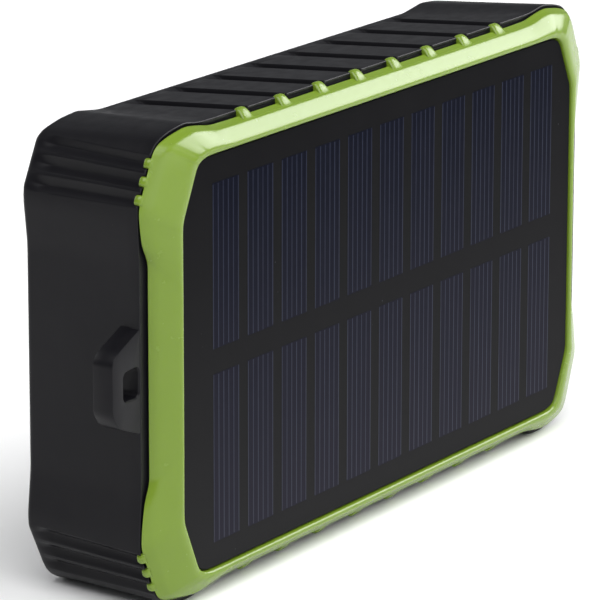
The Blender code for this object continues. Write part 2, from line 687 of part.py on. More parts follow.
def build_torch(make):
    def torch_slab(gap, span):
        return slab(pill(TORCH_HALF_LENGTH - gap, TORCH_RADIUS - gap), *span)

    at = (TORCH_X, 0, 0)
    make.add("torch_board", torch_slab(FIT, TORCH_BOARD_Y), "board", at=at)
    for i, z in enumerate(TORCH_LEDS, 1):
        led = boxes(((-1.4, 1.4), TORCH_LED_Y, (z - 1.4, z + 1.4)))
        make.add(f"torch_led_{i}", led, "led", at=at)
    reflector = make.add("torch_reflector", torch_slab(FIT, REFLECTOR_Y), "reflector", at=at)
    front, back = REFLECTOR_Y
    cup = [(front - 0.4, 2.1), (front, 2.1), (back, 3.2), (back + 0.5, 3.3)]
    make.cut(reflector, "torch_cups", rods("Y", 20, *[((0, 0, z), cup) for z in TORCH_LEDS]), at=at)
    make.add("torch_lens", torch_slab(0.1, LENS_Y), "clear", at=at)


def build_port_cover(make):
    """The rubber cover's flap and its anchor strip, both trimmed by the outside of the case."""
    gap = COVER_GAP
    outside = loft([(shell_outline(y), y) for y in (SHELL_FRONT, SHELL_BACK - SHELL_EDGE)])
    z0, z1 = RECESS_Z[0] + gap, RECESS_Z[1] - gap
    inner = RECESS_FLOOR + gap
    hinge = Vector((HINGE_X, HINGE_Y, (z0 + z1) / 2))
    flap_mesh = boxes(((inner, OUTSIDE_X), (RECESS_Y[0] + 0.5, HINGE_Y - gap), (z0, z1)))
    flap_mesh.transform(Matrix.Translation(hinge * -MM))
    flap = make.add("port_cover_flap", flap_mesh, "rubber", at=hinge)
    tab = ((inner + 1.0, OUTSIDE_X), (TAB_Y + 1.2, RECESS_Y[0] + 2), (TAB_Z[0] + 0.6, TAB_Z[1] - 0.6))
    make.join(flap, "pull_tab", boxes(tab))
    make.boolean(flap, "INTERSECT", "flap_outside", outside.copy())

    strap = ((inner, OUTSIDE_X), (HINGE_Y + gap, STRAP_Y - gap), (STRAP_Z[0] + gap, STRAP_Z[1] - gap))
    anchor = make.add("port_cover_anchor", boxes(strap), "rubber")
    make.join(anchor, "anchor_barb", boxes(BARB))
    make.boolean(anchor, "INTERSECT", "anchor_outside", outside)


def build_case_screws(make):
    seat = HEAD_SEAT + FIT
    profile = [(9.5, 0.7), (10.5, 1.0), (seat, 1.0), (seat + 0.01, 2.1), (seat + 1.2, 2.1), (seat + 1.6, 1.7)]
    for i, (x, z) in enumerate(post_places(), 1):
        screw = make.add(f"case_screw_{i}", rods("Y", 20, ((x, 0, z), profile)), "metal")
        for way, (half_x, half_z) in (("long", (1.3, 0.25)), ("short", (0.25, 1.3))):
            slot = boxes(((x - half_x, x + half_x), (seat + 0.8, seat + 2), (z - half_z, z + half_z)))
            make.cut(screw, f"case_screw_slot_{way}_{i}", slot)


def build_leads(make):
    """Insulated leads between the boards, the battery and the panel."""
    battery = [
        (30.4, 12.0, 8.0), (33.0, 12.0, 8.3), (36.6, 12.8, 10.4), (38.6, 14.8, 12.0), (38.9, 17.6, 12.2),
    ]
    panel = [
        (34.0, 2.1, 19.0), (34.0, 5.0, 19.0), (36.6, 9.5, 19.2), (41.0, 13.5, 20.0), (41.4, 17.6, 20.2),
    ]
    torch = [
        (41.5, 19.8, 7.0), (41.7, 20.6, 7.0), (43.6, 20.9, 7.0), (46.4, 20.9, 7.0), (46.8, 21.9, 7.0),
    ]
    for name, route, radius in (("battery", battery, 0.9), ("panel", panel, 0.6), ("torch", torch, 0.4)):
        for pole, side in (("positive", 1), ("negative", -1)):
            points = [(x, y, z * side) for x, y, z in route]
            slot = "red_lead" if side > 0 else "black_lead"
            make_lead(make, f"{name}_lead_{pole}", points, radius, slot)


def smooth_route(points, steps=4):
    """Points on a Catmull-Rom curve through the route's own points."""
    padded = [points[0]] + points + [points[-1]]
    route = []
    for a, b, c, d in zip(padded, padded[1:], padded[2:], padded[3:]):
        a, b, c, d = Vector(a), Vector(b), Vector(c), Vector(d)
        for i in range(steps):
            t = i / steps
            square = 2 * a - 5 * b + 4 * c - d
            cube = 3 * b - a - 3 * c + d
            route.append(b + ((c - a) * t + square * t**2 + cube * t**3) / 2)
    return route + [Vector(points[-1])]


def make_lead(make, name, points, radius, slot):
    route = smooth_route(points)
    curve = bpy.data.curves.new(name, "CURVE")
    curve.dimensions = "3D"
    curve.bevel_depth = radius * MM
    curve.bevel_resolution = 2
    curve.use_fill_caps = True
    spline = curve.splines.new("POLY")
    spline.points.add(len(route) - 1)
    for point, place in zip(spline.points, route):
        point.co = (*(place * MM), 1.0)
    curve.materials.append(make.materials[slot])
    lead = bpy.data.objects.new(name, curve)
    bpy.context.collection.objects.link(lead)
    lead.parent = make.frame


def main():
    clear_scene()
    make = Builder()
    build_shell(make)
    build_bezel(make)
    build_seal(make)
    build_panel(make)
    build_battery(make)
    build_board(make)
    for name, z in USB_A.items():
        build_usb_a(make, name, z)
    build_micro_usb(make)
    build_switch(make)
    build_torch(make)
    build_port_cover(make)
    build_case_screws(make)
    build_leads(make)


main()
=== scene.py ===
"""Looks of the solar phone charger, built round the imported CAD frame.

Every shape is built in millimetres in the case's own frame: X and Z from the middle of the case, and Y from
the panel's front surface into the case. settle() then carries it into the row's frame, in metres.
"""

import json
import math
import random

import bmesh
import bpy
from mathutils import Matrix, Quaternion, Vector


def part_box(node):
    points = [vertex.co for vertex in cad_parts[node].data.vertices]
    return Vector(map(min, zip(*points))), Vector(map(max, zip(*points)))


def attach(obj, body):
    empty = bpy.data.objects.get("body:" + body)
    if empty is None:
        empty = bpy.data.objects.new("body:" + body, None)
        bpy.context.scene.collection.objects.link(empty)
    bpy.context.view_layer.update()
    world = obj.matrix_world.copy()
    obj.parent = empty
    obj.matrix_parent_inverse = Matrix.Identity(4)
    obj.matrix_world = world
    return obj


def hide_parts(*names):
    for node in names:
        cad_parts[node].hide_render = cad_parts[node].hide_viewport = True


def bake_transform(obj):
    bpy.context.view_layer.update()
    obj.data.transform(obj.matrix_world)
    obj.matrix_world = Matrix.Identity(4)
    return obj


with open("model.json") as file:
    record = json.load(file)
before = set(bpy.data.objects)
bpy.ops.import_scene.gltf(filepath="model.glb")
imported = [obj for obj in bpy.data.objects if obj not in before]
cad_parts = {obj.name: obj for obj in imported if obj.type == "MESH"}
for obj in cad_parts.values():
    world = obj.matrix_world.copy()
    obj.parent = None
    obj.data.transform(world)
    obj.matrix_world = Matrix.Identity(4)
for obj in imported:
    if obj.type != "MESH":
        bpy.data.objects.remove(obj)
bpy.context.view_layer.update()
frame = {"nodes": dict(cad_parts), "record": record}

NODES = frame["nodes"]
bezel_low, bezel_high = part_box("front_bezel")
ORIGIN = (bezel_low + bezel_high) / 2
ORIGIN.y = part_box("solar_cells_upper")[0].y
TO_ROW = Matrix.Translation(ORIGIN) @ Matrix.Scale(0.001, 4)

# Parts that a rounded corner of an outline is divided into
CORNER_STEPS = 5

# Depths of the case, from the panel's front surface
RIM_Y, BACK_Y, CAVITY_BACK = 3.4, 29.7, 27.2
BEZEL_BACK, LEDGE_Y = 3.2, 2.0
RIM_FILLET, BACK_FILLET = 0.25, 1.0
FOOT_Z = 43.6

# Quarter outlines (x, z), from the end wall round the corner to the long side, with how far each corner's
# rounding reaches. Points 3 and 4 are the ends of the corner's flat facet.
FACET = 3
TUB_FRONT_UPPER = [
    (75.8, 20.6), (76.1, 24.8), (76.3, 28.6), (76.2, 31.9), (72.7, 39.0),
    (70.2, 41.9), (66.6, 43.0), (61.9, FOOT_Z), (57.2, 42.9), (54.5, 42.8),
]
TUB_BACK_UPPER = [
    (73.1, 20.6), (73.6, 24.8), (74.1, 29.0), (73.9, 31.3), (69.8, 39.3),
    (68.0, 40.4), (63.2, 41.4), (58.1, 41.8), (54.2, 41.2), (51.2, 40.8),
]
TUB_FRONT_LOWER = TUB_FRONT_UPPER[:6] + [
    (66.9, 42.8), (64.4, FOOT_Z), (59.4, FOOT_Z), (56.2, 41.9),
]
TUB_BACK_LOWER = TUB_BACK_UPPER[:5] + [
    (68.7, 41.0), (66.6, 42.6), (64.0, FOOT_Z), (57.6, FOOT_Z), (54.6, 40.6),
]
TUB_ROUNDING = [1.6, 1.6, 1.6, 0.6, 0.7, 2.0, 2.0, 1.2, 1.4, 1.2]
BEZEL_OUTER = [
    (73.4, 20.9), (75.1, 24.3), (75.7, 27.4), (76.0, 30.9), (71.9, 39.8),
    (70.4, 41.2), (67.4, 42.1), (62.1, 42.9), (58.0, 42.4), (54.5, 41.7), (48.6, 41.6),
]
BEZEL_OUTER_LOWER = [
    (73.4, 18.8), (74.9, 22.2), (75.7, 26.3), (76.0, 30.2), (71.8, 39.7),
] + BEZEL_OUTER[5:]
WINDOW = [
    (67.6, 14.0), (67.6, 20.6), (67.6, 24.4), (67.6, 27.0), (63.3, 36.2),
    (62.2, 37.1), (60.4, 37.65), (58.0, 37.75), (55.0, 37.75), (52.0, 37.75), (46.0, 37.75),
]
# The window reaches further down than up, from the corner's facet on
WINDOW_DROP, WINDOW_DROP_FROM = 0.5, 30
WINDOW_LOWER = [(x, z + (WINDOW_DROP if z > WINDOW_DROP_FROM else 0.0)) for x, z in WINDOW]
BEZEL_ROUNDING = [1.0, 1.2, 1.6, 1.4, 1.4, 1.6, 1.8, 1.6, 1.6, 1.6, 1.6]
# The bezel's section as (share of the way from window to outer edge, y), on the long sides and at the ends.
# END_WEIGHT says how far each corner of the quarter has the ends' section.
LONG_SECTION = [
    (0.0, LEDGE_Y), (0.0, -0.25), (0.01, -0.42), (0.04, -0.57), (0.09, -0.68), (0.15, -0.72), (0.22, -0.68),
    (0.30, -0.53), (0.40, -0.24), (0.55, 0.28), (0.70, 0.82), (0.80, 1.18), (0.84, 1.37), (0.868, 1.62),
    (0.892, 1.94), (0.92, 2.28), (0.955, 2.64), (0.985, 2.92), (1.0, 3.1), (1.0, BEZEL_BACK),
]
END_SECTION = [
    (0.0, LEDGE_Y), (0.0, -0.14), (0.008, -0.28), (0.025, -0.38), (0.055, -0.45), (0.095, -0.48),
    (0.14, -0.45), (0.20, -0.32), (0.28, -0.06), (0.42, 0.42), (0.56, 0.93), (0.68, 1.37), (0.76, 1.68),
    (0.82, 1.95), (0.87, 2.22), (0.91, 2.47), (0.945, 2.72), (0.975, 2.96), (1.0, 3.16), (1.0, BEZEL_BACK),
]
END_WEIGHT = [1.0, 1.0, 1.0, 0.85, 0.5, 0.35, 0.2, 0.0, 0.0, 0.0, 0.0]
CAVITY = [
    (69.6, 20.6), (69.6, 24.8), (69.6, 28.6), (69.6, 33.0), (67.6, 38.0),
    (66.0, 38.0), (63.0, 38.0), (60.0, 38.0), (57.0, 38.0), (54.5, 38.0),
]
SEAL = [
    (73.4, 20.6), (73.6, 24.8), (73.8, 28.3), (73.8, 31.2), (70.9, 38.9),
    (69.6, 40.6), (66.9, 41.4), (62.1, 41.7), (57.5, 41.6), (54.5, 41.6),
]
SEAL_SHARES, SEAL_GROOVE_DEPTH = (0.26, 0.78), 1.2
CAVITY_ROUNDING, CAVITY_TAPER = 1.2, 0.4

# Grooves across the long sides and the corner facets, and the bezel's teeth and lugs in them
TOOTH_COUNT, TOOTH_PITCH = 8, 12.5
TOOTH_PLACES = [(i - (TOOTH_COUNT - 1) / 2) * TOOTH_PITCH for i in range(TOOTH_COUNT)]
TOOTH_WIDTH, TOOTH_LIFT = 2.7, 1.32
LUG_PLACES = (0.85, 4.15, 7.45)
LUG_WIDTH = 1.95
GROOVE_HALF, GROOVE_WALL = 1.95, 0.4
GROOVE_OFFSETS = [1.95, 1.88, 1.80, 1.72, 1.64, 1.56, 1.0]
GROOVE_DEPTH_FRONT, GROOVE_DEPTH_BACK = 0.95, 1.35
FACET_GROOVE_HALF, FACET_GROOVE_DEPTH, FACET_GROOVE_CURVE = 1.35, 1.0, 1.3
FACET_LENGTH, FACET_THICKNESS = 7.9, 1.2
GROOVE_FADE = (23.5, 28.4)
FACET_FADE = (24.2, 29.0)
TROUGH_DEPTH = 0.25

# Solar cells: strips with silver fingers, in two rows
CELL_COUNT, CELL_PITCH, CELL_MIDDLE_X = 11, 11.0, 1.0
CELL_HALF_WIDTH = 4.06
CELL_ROWS = {"upper": (2.3, 32.4), "lower": (-33.4, -2.3)}
FINGERS, FINGER_PITCH, FINGER_WIDTH = 6, 1.58, 0.22

# The end with the sockets
RECESS_FLOOR, RECESS_Y, RECESS_Z = 72.2, (7.3, 24.8), (-27.7, 11.7)
STRAP_Y, STRAP_Z = 27.0, (-20.0, 4.0)
TAB_Y, TAB_Z = 5.2, (-13.0, -3.0)
HINGE_Y = 24.5
COVER_GAP = 0.3
BUTTON_X, BUTTON_Y, BUTTON_Z = 74.7, 15.8, 16.6
LED_PLACES = (21.6, 23.5, 25.4, 27.3)
SOCKETS = [(-19.3, 13.8, 11.6, 18.0), (-4.7, 13.8, 11.6, 18.0), (6.4, 8.2, 14.5, 18.0)]

# Back: screws and torch
POST_X, POST_Z = 66.0, 33.6
BOARD_SCREWS = ((39.5, -25.0), (39.5, 25.0), (60.0, 25.4))
TORCH_X, TORCH_HALF_LENGTH, TORCH_RADIUS = 50.0, 15.0, 5.5
LOOP_REACH = 83.8
LOOP_Y = (3.45, 7.7)

# Camera, in the row's frame
CAMERA_PLACE = Vector((-0.6858, -0.4438, 0.2614))
CAMERA_AIM = Vector((0.8090, 0.5268, -0.2610))
CAMERA_ROLL = 0.09
CAMERA_LENS = 270.4


# ---------------------------------------------------------------- outlines

def mirrored(upper, lower=None):
    """The closed list of points of a quarter above the middle and one below it."""
    lower = lower or upper
    top = upper + [(-x, z) for x, z in reversed(upper)]
    bottom = [(-x, -z) for x, z in lower] + [(x, -z) for x, z in reversed(lower)]
    return top + bottom


def mirrored_values(quarter):
    half = quarter + list(reversed(quarter))
    return half + half


def mixed(first, second, share):
    return [(a + (c - a) * share, b + (d - b) * share) for (a, b), (c, d) in zip(first, second)]


def softened(outline, roundings, steps=CORNER_STEPS):
    """The closed outline with each corner rounded, always with the same number of points."""
    made = []
    for i, corner in enumerate(outline):
        here = Vector(corner)
        back = Vector(outline[i - 1]) - here
        on = Vector(outline[(i + 1) % len(outline)]) - here
        start = here + back.normalized() * min(roundings[i], back.length * 0.46)
        end = here + on.normalized() * min(roundings[i], on.length * 0.46)
        for step in range(steps + 1):
            t = step / steps
            made.append(start * (1 - t) ** 2 + here * 2 * t * (1 - t) + end * t**2)
    return made


def inset(outline, distance):
    """Each point of a closed outline moved inwards, square to the outline there."""
    moved = []
    count = len(outline)
    for i, here in enumerate(outline):
        here = Vector(here)
        first = here - Vector(outline[i - 1])
        second = Vector(outline[(i + 1) % count]) - here
        normal = Vector((-first.y, first.x)).normalized() + Vector((-second.y, second.x)).normalized()
        moved.append(here + normal.normalized() * distance)
    return moved


def smooth_step(low, high, value):
    t = min(max((value - low) / (high - low), 0.0), 1.0)
    return t * t * (3 - 2 * t)


def groove_profile(distance, half, wall):
    """How deep a groove is at a distance from its middle, from 0 on the surface to 1 on its floor."""
    return 1 - smooth_step(half - wall, half, abs(distance))


def pill(half_length, radius, steps=16):
    """An (x, z) outline, long in z, with round ends."""
    points = []
    for end, start in ((half_length - radius, 0.0), (radius - half_length, math.pi)):
        for i in range(steps + 1):
            angle = start + math.pi * i / steps
            points.append((radius * math.cos(angle), end + radius * math.sin(angle)))
    return points


# ---------------------------------------------------------------- mesh making

def ring_of(shape, outline, y):
    """A ring of vertices at one depth, or at a list of depths."""
    depths = y if isinstance(y, list) else [y] * len(outline)
    return [shape.verts.new((x, depth, z)) for (x, z), depth in zip(outline, depths)]


def bridge(shape, ring, following):
    count = len(ring)
    for i in range(count):
        j = (i + 1) % count
        shape.faces.new((ring[i], ring[j], following[j], following[i]))


def close_rings(shape, rings):
    """Joins rings into a closed skin, with one flat face at each end."""
    for ring, following in zip(rings, rings[1:]):
        bridge(shape, ring, following)
    shape.faces.new(list(reversed(rings[0])))
    shape.faces.new(rings[-1])


def fan(shape, ring):
    """Closes a ring with triangles from its middle."""
    middle = sum((v.co for v in ring), Vector()) / len(ring)
    centre = shape.verts.new(middle)
    for i, vertex in enumerate(ring):
        shape.faces.new((vertex, ring[(i + 1) % len(ring)], centre))


def loft(stations, closed=False):
    """A skin over (outline, y) stations, closed into a ring or with flat ends."""
    shape = bmesh.new()
    rings = [ring_of(shape, outline, y) for outline, y in stations]
    for ring, following in zip(rings, rings[1:]):
        bridge(shape, ring, following)
    if closed:
        bridge(shape, rings[-1], rings[0])
    else:
        fan(shape, list(reversed(rings[0])))
        fan(shape, rings[-1])
    return shape


def add_box(shape, x, y, z):
    """Adds a box given as three (low, high) spans to the bmesh."""
    middle = Vector([(low + high) / 2 for low, high in (x, y, z)])
    size = [abs(high - low) for low, high in (x, y, z)]
    placed = Matrix.Translation(middle) @ Matrix.Diagonal((*size, 1))
    bmesh.ops.create_cube(shape, size=1.0, matrix=placed)


def block(x, y, z, rounding=0.0, segments=3):
    """A box given as three (low, high) spans, with its edges rounded."""
    shape = bmesh.new()
    add_box(shape, x, y, z)
    if rounding:
        edges = shape.edges[:]
        bmesh.ops.bevel(shape, geom=edges, offset=rounding, segments=segments, profile=0.5, affect="EDGES")
    return shape


def add_turned(shape, axis, middle, profile, segments=32):
    """Adds a closed turned solid round an axis, from (place along the axis, radius) points."""
    along = Vector([axis == name for name in "XYZ"])
    side = Vector([axis != "X", axis == "X", 0.0])
    up = along.cross(side)
    rings = []
    for place, radius in profile:
        ring = []
        for i in range(segments):
            angle = 2 * math.pi * i / segments
            spoke = side * math.cos(angle) + up * math.sin(angle)
            ring.append(shape.verts.new(Vector(middle) + along * place + spoke * radius))
        rings.append(ring)
    close_rings(shape, rings)


def turned(axis, profile, middles, segments=32):
    shape = bmesh.new()
    for middle in middles:
        add_turned(shape, axis, middle, profile, segments)
    return shape


def loose(name, shape):
    """An object of the bmesh, still in millimetres, with its faces pointing out."""
    bmesh.ops.recalc_face_normals(shape, faces=shape.faces)
    mesh = bpy.data.meshes.new(name)
    shape.to_mesh(mesh)
    shape.free()
    made = bpy.data.objects.new(name, mesh)
    bpy.context.collection.objects.link(made)
    return made


def combine(target, operation, shape):
    """Joins a closed bmesh to the target, or cuts it out of it."""
    tool = loose("tool", shape)
    change = target.modifiers.new("change", "BOOLEAN")
    change.operation = operation
    change.solver = "MANIFOLD"
    change.object = tool
    graph = bpy.context.evaluated_depsgraph_get()
    made = bpy.data.meshes.new_from_object(target.evaluated_get(graph), depsgraph=graph)
    target.modifiers.clear()
    old = target.data
    target.data = made
    made.name = target.name
    bpy.data.meshes.remove(old)
    bpy.data.objects.remove(tool)


def settle(made, material, body="charger", replaces=(), sharp_degrees=32, ride=True):
    """Carries a finished piece into the row's frame and gives it its shading, material and body."""
    made.data.transform(TO_ROW)
    made.data.shade_smooth()
    made.data.set_sharp_from_angle(angle=math.radians(sharp_degrees))
    made.data.materials.clear()
    made.data.materials.append(material)
    if ride:
        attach(made, body)
    if replaces:
        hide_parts(*replaces)
    return made


# ---------------------------------------------------------------- materials

class Recipe:
    """A Principled material and short ways to add procedural detail to it."""

    def __init__(self, name, color, roughness, **values):
        self.material = bpy.data.materials.new(name)
        self.material.use_nodes = True
        self.nodes = self.material.node_tree.nodes
        self.links = self.material.node_tree.links
        self.shader = self.nodes["Principled BSDF"]
        self.color = (*color, 1.0)
        self.shader.inputs["Base Color"].default_value = self.color
        self.shader.inputs["Roughness"].default_value = roughness
        self.roughness = roughness
        for key, value in values.items():
            self.shader.inputs[key.replace("_", " ")].default_value = value
        self.place = self.nodes.new("ShaderNodeTexCoord").outputs["Object"]
        self.height = None

    def texture(self, kind, scale, **settings):
        node = self.nodes.new(kind)
        for key, value in settings.items():
            if hasattr(node, key):
                setattr(node, key, value)
            else:
                node.inputs[key.replace("_", " ")].default_value = value
        node.inputs["Scale"].default_value = scale
        self.links.new(self.place, node.inputs["Vector"])
        return node

    def spread(self, source, low, high, from_low=0.0, from_high=1.0):
        """The source's value carried from one range to another."""
        node = self.nodes.new("ShaderNodeMapRange")
        ranges = {"From Min": from_low, "From Max": from_high, "To Min": low, "To Max": high}
        for key, value in ranges.items():
            node.inputs[key].default_value = value
        self.links.new(source, node.inputs["Value"])
        return node.outputs["Result"]

    def mix_color(self, factor, other):
        """Mixes the base colour so far with another colour."""
        node = self.nodes.new("ShaderNodeMix")
        node.data_type = "RGBA"
        base = self.shader.inputs["Base Color"]
        if base.is_linked:
            self.links.new(base.links[0].from_socket, node.inputs["A"])
        else:
            node.inputs["A"].default_value = self.color
        node.inputs["B"].default_value = (*other, 1.0)
        self.links.new(factor, node.inputs["Factor"])
        self.links.new(node.outputs["Result"], base)

    def vary_color(self, scale, other, amount):
        noise = self.texture("ShaderNodeTexNoise", scale, Detail=3.0)
        self.mix_color(self.spread(noise.outputs["Fac"], 0.0, amount, 0.35, 0.7), other)

    def painted_floor_reflection(self, clear_z, full_z, other):
        """Mixes in another colour towards a height: a painted reflection of the floor, lighter low down on a
        face.
        """
        place = self.nodes.new("ShaderNodeSeparateXYZ")
        self.links.new(self.place, place.inputs["Vector"])
        self.mix_color(self.spread(place.outputs["Z"], 0.0, 1.0, clear_z, full_z), other)

    def vary_roughness(self, scale, amount):
        noise = self.texture("ShaderNodeTexNoise", scale, Detail=4.0)
        low, high = self.roughness - amount, self.roughness + amount
        varied = self.spread(noise.outputs["Fac"], low, high, 0.3, 0.7)
        self.links.new(varied, self.shader.inputs["Roughness"])

    def bump(self, source, depth_mm):
        """Adds a relief of this depth."""
        node = self.nodes.new("ShaderNodeBump")
        node.inputs["Distance"].default_value = depth_mm / 1000
        self.links.new(source, node.inputs["Height"])
        if self.height:
            self.links.new(self.height, node.inputs["Normal"])
        self.height = node.outputs["Normal"]
        self.links.new(self.height, self.shader.inputs["Normal"])

    def grain(self, scale, depth_mm, detail=2.0):
        noise = self.texture("ShaderNodeTexNoise", scale, Detail=detail)
        self.bump(noise.outputs["Fac"], depth_mm)

    def specks(self, scale, radius, color, strength):
        """Small dust specks, one at most in each cell of the texture, and many cells with none."""
        cells = self.texture("ShaderNodeTexVoronoi", scale, Randomness=1.0)
        spots = self.spread(cells.outputs["Distance"], strength, 0.0, radius * 0.5, radius)
        patches = self.texture("ShaderNodeTexNoise", scale * 0.31, Detail=1.0)
        few = self.spread(patches.outputs["Fac"], 0.0, 1.0, 0.52, 0.6)
        both = self.nodes.new("ShaderNodeMath")
        both.operation = "MULTIPLY"
        self.links.new(spots, both.inputs[0])
        self.links.new(few, both.inputs[1])
        self.mix_color(both.outputs[0], color)


# Heights in the row's frame, in metres, where the painted floor reflection on the panel begins and where it
# is full
PANEL_REFLECTION_HEIGHTS = (0.076, 0.008)


def make_materials():
    """One material for each slot, and one for the printed fingers."""
    made = {}

    def keep(slot, recipe):
        made[slot] = recipe.material

    tub = Recipe("tub_plastic", (0.0050, 0.0048, 0.0063), 0.36, Specular_IOR_Level=0.155)
    tub.vary_color(60, (0.0064, 0.0061, 0.0077), 0.7)
    tub.vary_roughness(350, 0.05)
    tub.grain(5200, 0.006)
    tub.grain(420, 0.02)
    tub.specks(300, 0.035, (0.14, 0.13, 0.13), 0.5)
    keep("shell", tub)

    green = Recipe("bezel_plastic", (0.142, 0.224, 0.0165), 0.26, Specular_IOR_Level=0.44)
    green.vary_color(45, (0.133, 0.213, 0.0155), 0.4)
    green.vary_roughness(500, 0.015)
    green.grain(3600, 0.002)
    green.grain(160, 0.010)
    keep("bezel", green)

    film = Recipe("panel_film", (0.0072, 0.0072, 0.0079), 0.34, Specular_IOR_Level=0.004)
    film.vary_color(90, (0.0082, 0.0082, 0.0090), 0.8)
    # Painted reflection of the floor: the film is lighter towards the bottom of the panel
    film.painted_floor_reflection(*PANEL_REFLECTION_HEIGHTS, (0.0178, 0.0178, 0.0184))
    film.vary_roughness(260, 0.05)
    film.grain(2600, 0.003)
    film.specks(260, 0.05, (0.08, 0.08, 0.09), 0.5)
    keep("panel", film)

    cell = Recipe("cell_silicon", (0.0044, 0.0051, 0.0098), 0.34, Specular_IOR_Level=0.004)
    cell.vary_color(240, (0.0052, 0.0060, 0.0112), 0.9)
    # Painted reflection of the floor: the cells are lighter towards the bottom of the panel
    cell.painted_floor_reflection(*PANEL_REFLECTION_HEIGHTS, (0.0200, 0.0196, 0.0268))
    cell.vary_roughness(260, 0.05)
    cell.grain(2600, 0.003)
    keep("cell", cell)

    finger = Recipe("finger_silver", (0.0150, 0.0180, 0.0350), 0.38, Specular_IOR_Level=0.03)
    finger.vary_color(900, (0.0110, 0.0135, 0.0280), 1.0)
    # Painted reflection of the floor: the fingers are lighter towards the bottom of the panel
    finger.painted_floor_reflection(*PANEL_REFLECTION_HEIGHTS, (0.0370, 0.0385, 0.0520))
    finger.grain(4000, 0.004)
    keep("finger", finger)

    rubber = Recipe("cover_rubber", (0.016, 0.016, 0.017), 0.62, Specular_IOR_Level=0.35)
    rubber.vary_color(70, (0.022, 0.022, 0.023), 0.8)
    rubber.vary_roughness(300, 0.07)
    rubber.grain(3000, 0.02)
    rubber.grain(300, 0.03)
    keep("rubber", rubber)

    seal = Recipe("seal_silicone", (0.32, 0.31, 0.28), 0.55, Subsurface_Weight=0.1)
    seal.vary_color(120, (0.26, 0.25, 0.23), 0.7)
    seal.grain(1500, 0.02)
    keep("seal", seal)

    pouch = Recipe("pouch_foil", (0.60, 0.61, 0.63), 0.32, Metallic=0.85)
    pouch.vary_roughness(120, 0.08)
    pouch.grain(90, 0.25)
    pouch.grain(700, 0.03)
    keep("pouch", pouch)

    foam = Recipe("foam_tape", (0.72, 0.72, 0.68), 0.9)
    pores = foam.texture("ShaderNodeTexVoronoi", 2200)
    foam.bump(pores.outputs["Distance"], 0.12)
    foam.vary_color(500, (0.6, 0.6, 0.55), 0.8)
    keep("foam", foam)

    board = Recipe("board_mask", (0.012, 0.105, 0.045), 0.34)
    traces = board.texture("ShaderNodeTexBrick", 420, Mortar_Size=0.0)
    board.vary_color(380, (0.020, 0.16, 0.075), 0.9)
    board.bump(traces.outputs["Fac"], 0.02)
    board.grain(2500, 0.01)
    keep("board", board)

    metal = Recipe("plated_metal", (0.62, 0.62, 0.63), 0.28, Metallic=1.0)
    metal.vary_roughness(900, 0.07)
    metal.vary_color(250, (0.52, 0.52, 0.54), 0.6)
    metal.grain(4200, 0.006)
    keep("metal", metal)

    black = Recipe("black_plastic", (0.014, 0.014, 0.015), 0.45)
    black.vary_color(200, (0.022, 0.022, 0.023), 0.7)
    black.vary_roughness(700, 0.06)
    black.grain(3500, 0.012)
    keep("black_plastic", black)

    clear = Recipe("clear_plastic", (0.86, 0.90, 0.92), 0.16, Transmission_Weight=0.85, IOR=1.49)
    clear.vary_roughness(400, 0.04)
    clear.grain(900, 0.02)
    keep("clear", clear)

    led = Recipe("led_phosphor", (0.80, 0.74, 0.42), 0.35, Subsurface_Weight=0.15)
    led.vary_color(1600, (0.86, 0.83, 0.66), 0.9)
    led.grain(2600, 0.02)
    keep("led", led)

    mirror = Recipe("reflector_metal", (0.86, 0.86, 0.87), 0.12, Metallic=1.0)
    mirror.vary_roughness(600, 0.04)
    mirror.grain(1400, 0.008)
    keep("reflector", mirror)

    for name, color, other in (("red_lead", (0.50, 0.022, 0.016), (0.40, 0.018, 0.014)),
                               ("black_lead", (0.018, 0.018, 0.019), (0.028, 0.028, 0.03))):
        lead = Recipe(f"{name}_silicone", color, 0.42)
        lead.vary_color(300, other, 0.8)
        lead.vary_roughness(500, 0.05)
        lead.grain(2500, 0.015)
        keep(name, lead)
    return made


# ---------------------------------------------------------------- tub

def tub_outline(y):
    """The tub's upper and lower quarter at a depth, and its whole rounded outline, without grooves."""
    share = (y - RIM_Y) / (BACK_Y - RIM_Y)
    upper = mixed(TUB_FRONT_UPPER, TUB_BACK_UPPER, share)
    lower = mixed(TUB_FRONT_LOWER, TUB_BACK_LOWER, share)
    return upper, lower, softened(mirrored(upper, lower), mirrored_values(TUB_ROUNDING), 6)


def dense(points, parts):
    """Points along a polyline that divide it into equal parts."""
    lengths = [0.0]
    for a, b in zip(points, points[1:]):
        lengths.append(lengths[-1] + (b - a).length)
    made = []
    segment = 0
    for i in range(parts + 1):
        place = lengths[-1] * i / parts
        while segment < len(points) - 2 and lengths[segment + 1] < place:
            segment += 1
        span = lengths[segment + 1] - lengths[segment]
        share = (place - lengths[segment]) / max(span, 1e-9)
        made.append(points[segment].lerp(points[segment + 1], share))
    return made


def long_side_places():
    """Places along a long side that follow the walls of its grooves."""
    places = []
    for middle in TOOTH_PLACES:
        places += [middle - offset for offset in GROOVE_OFFSETS] + [middle]
        places += [middle + offset for offset in reversed(GROOVE_OFFSETS)]
    return places


